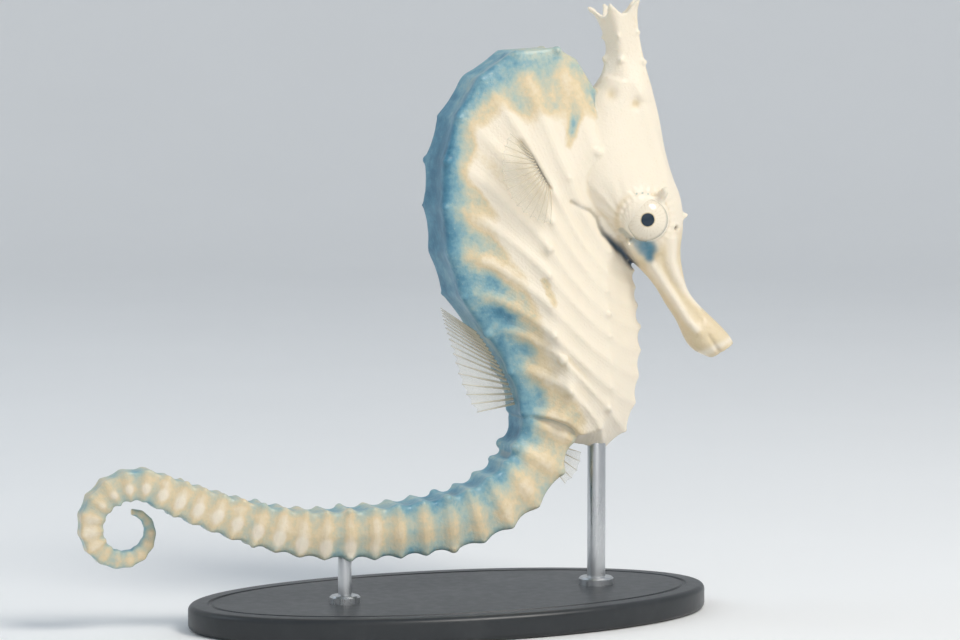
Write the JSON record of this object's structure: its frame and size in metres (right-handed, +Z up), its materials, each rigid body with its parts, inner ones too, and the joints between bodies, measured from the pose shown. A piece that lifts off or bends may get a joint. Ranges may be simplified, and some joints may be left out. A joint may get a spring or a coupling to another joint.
{
  "type": "seahorse display model",
  "caption": "Life-size still model of a crowned, deep-bodied seahorse held upright with its tail trailing behind, on a plain oval stand with two short rods.",
  "frame": {"origin": "centre of the bounding box at its lowest level, which is the underside of the stand", "axes": "+Z up, +X the way the trunk faces, +Y to the animal's left"},
  "size_m": [0.079, 0.034, 0.0731],
  "materials": {
    "skin": "pale cream skin over bony rings, with tan and blue-grey shading on the back",
    "fin": "thin pale membrane with fine rays",
    "eye": "glossy cream iris round a small dark blue pupil",
    "base": "satin black disc with a softened edge",
    "rod": "fine brushed steel"
  },
  "bodies": {
    "root": {"head": "skin", "snout": "skin", "coronet": "skin", "neck": "skin", "trunk_upper": "skin", "trunk_lower": "skin", "tail_1": "skin", "tail_2": "skin", "tail_3": "skin", "tail_tip": "skin", "eye_right": "eye", "eye_left": "eye", "dorsal_fin": "fin", "pectoral_fin_right": "fin", "pectoral_fin_left": "fin", "anal_fin": "fin", "stand_base": "base", "stand_rod_trunk": "rod", "stand_rod_tail": "rod"}
  },
  "joints": []
}
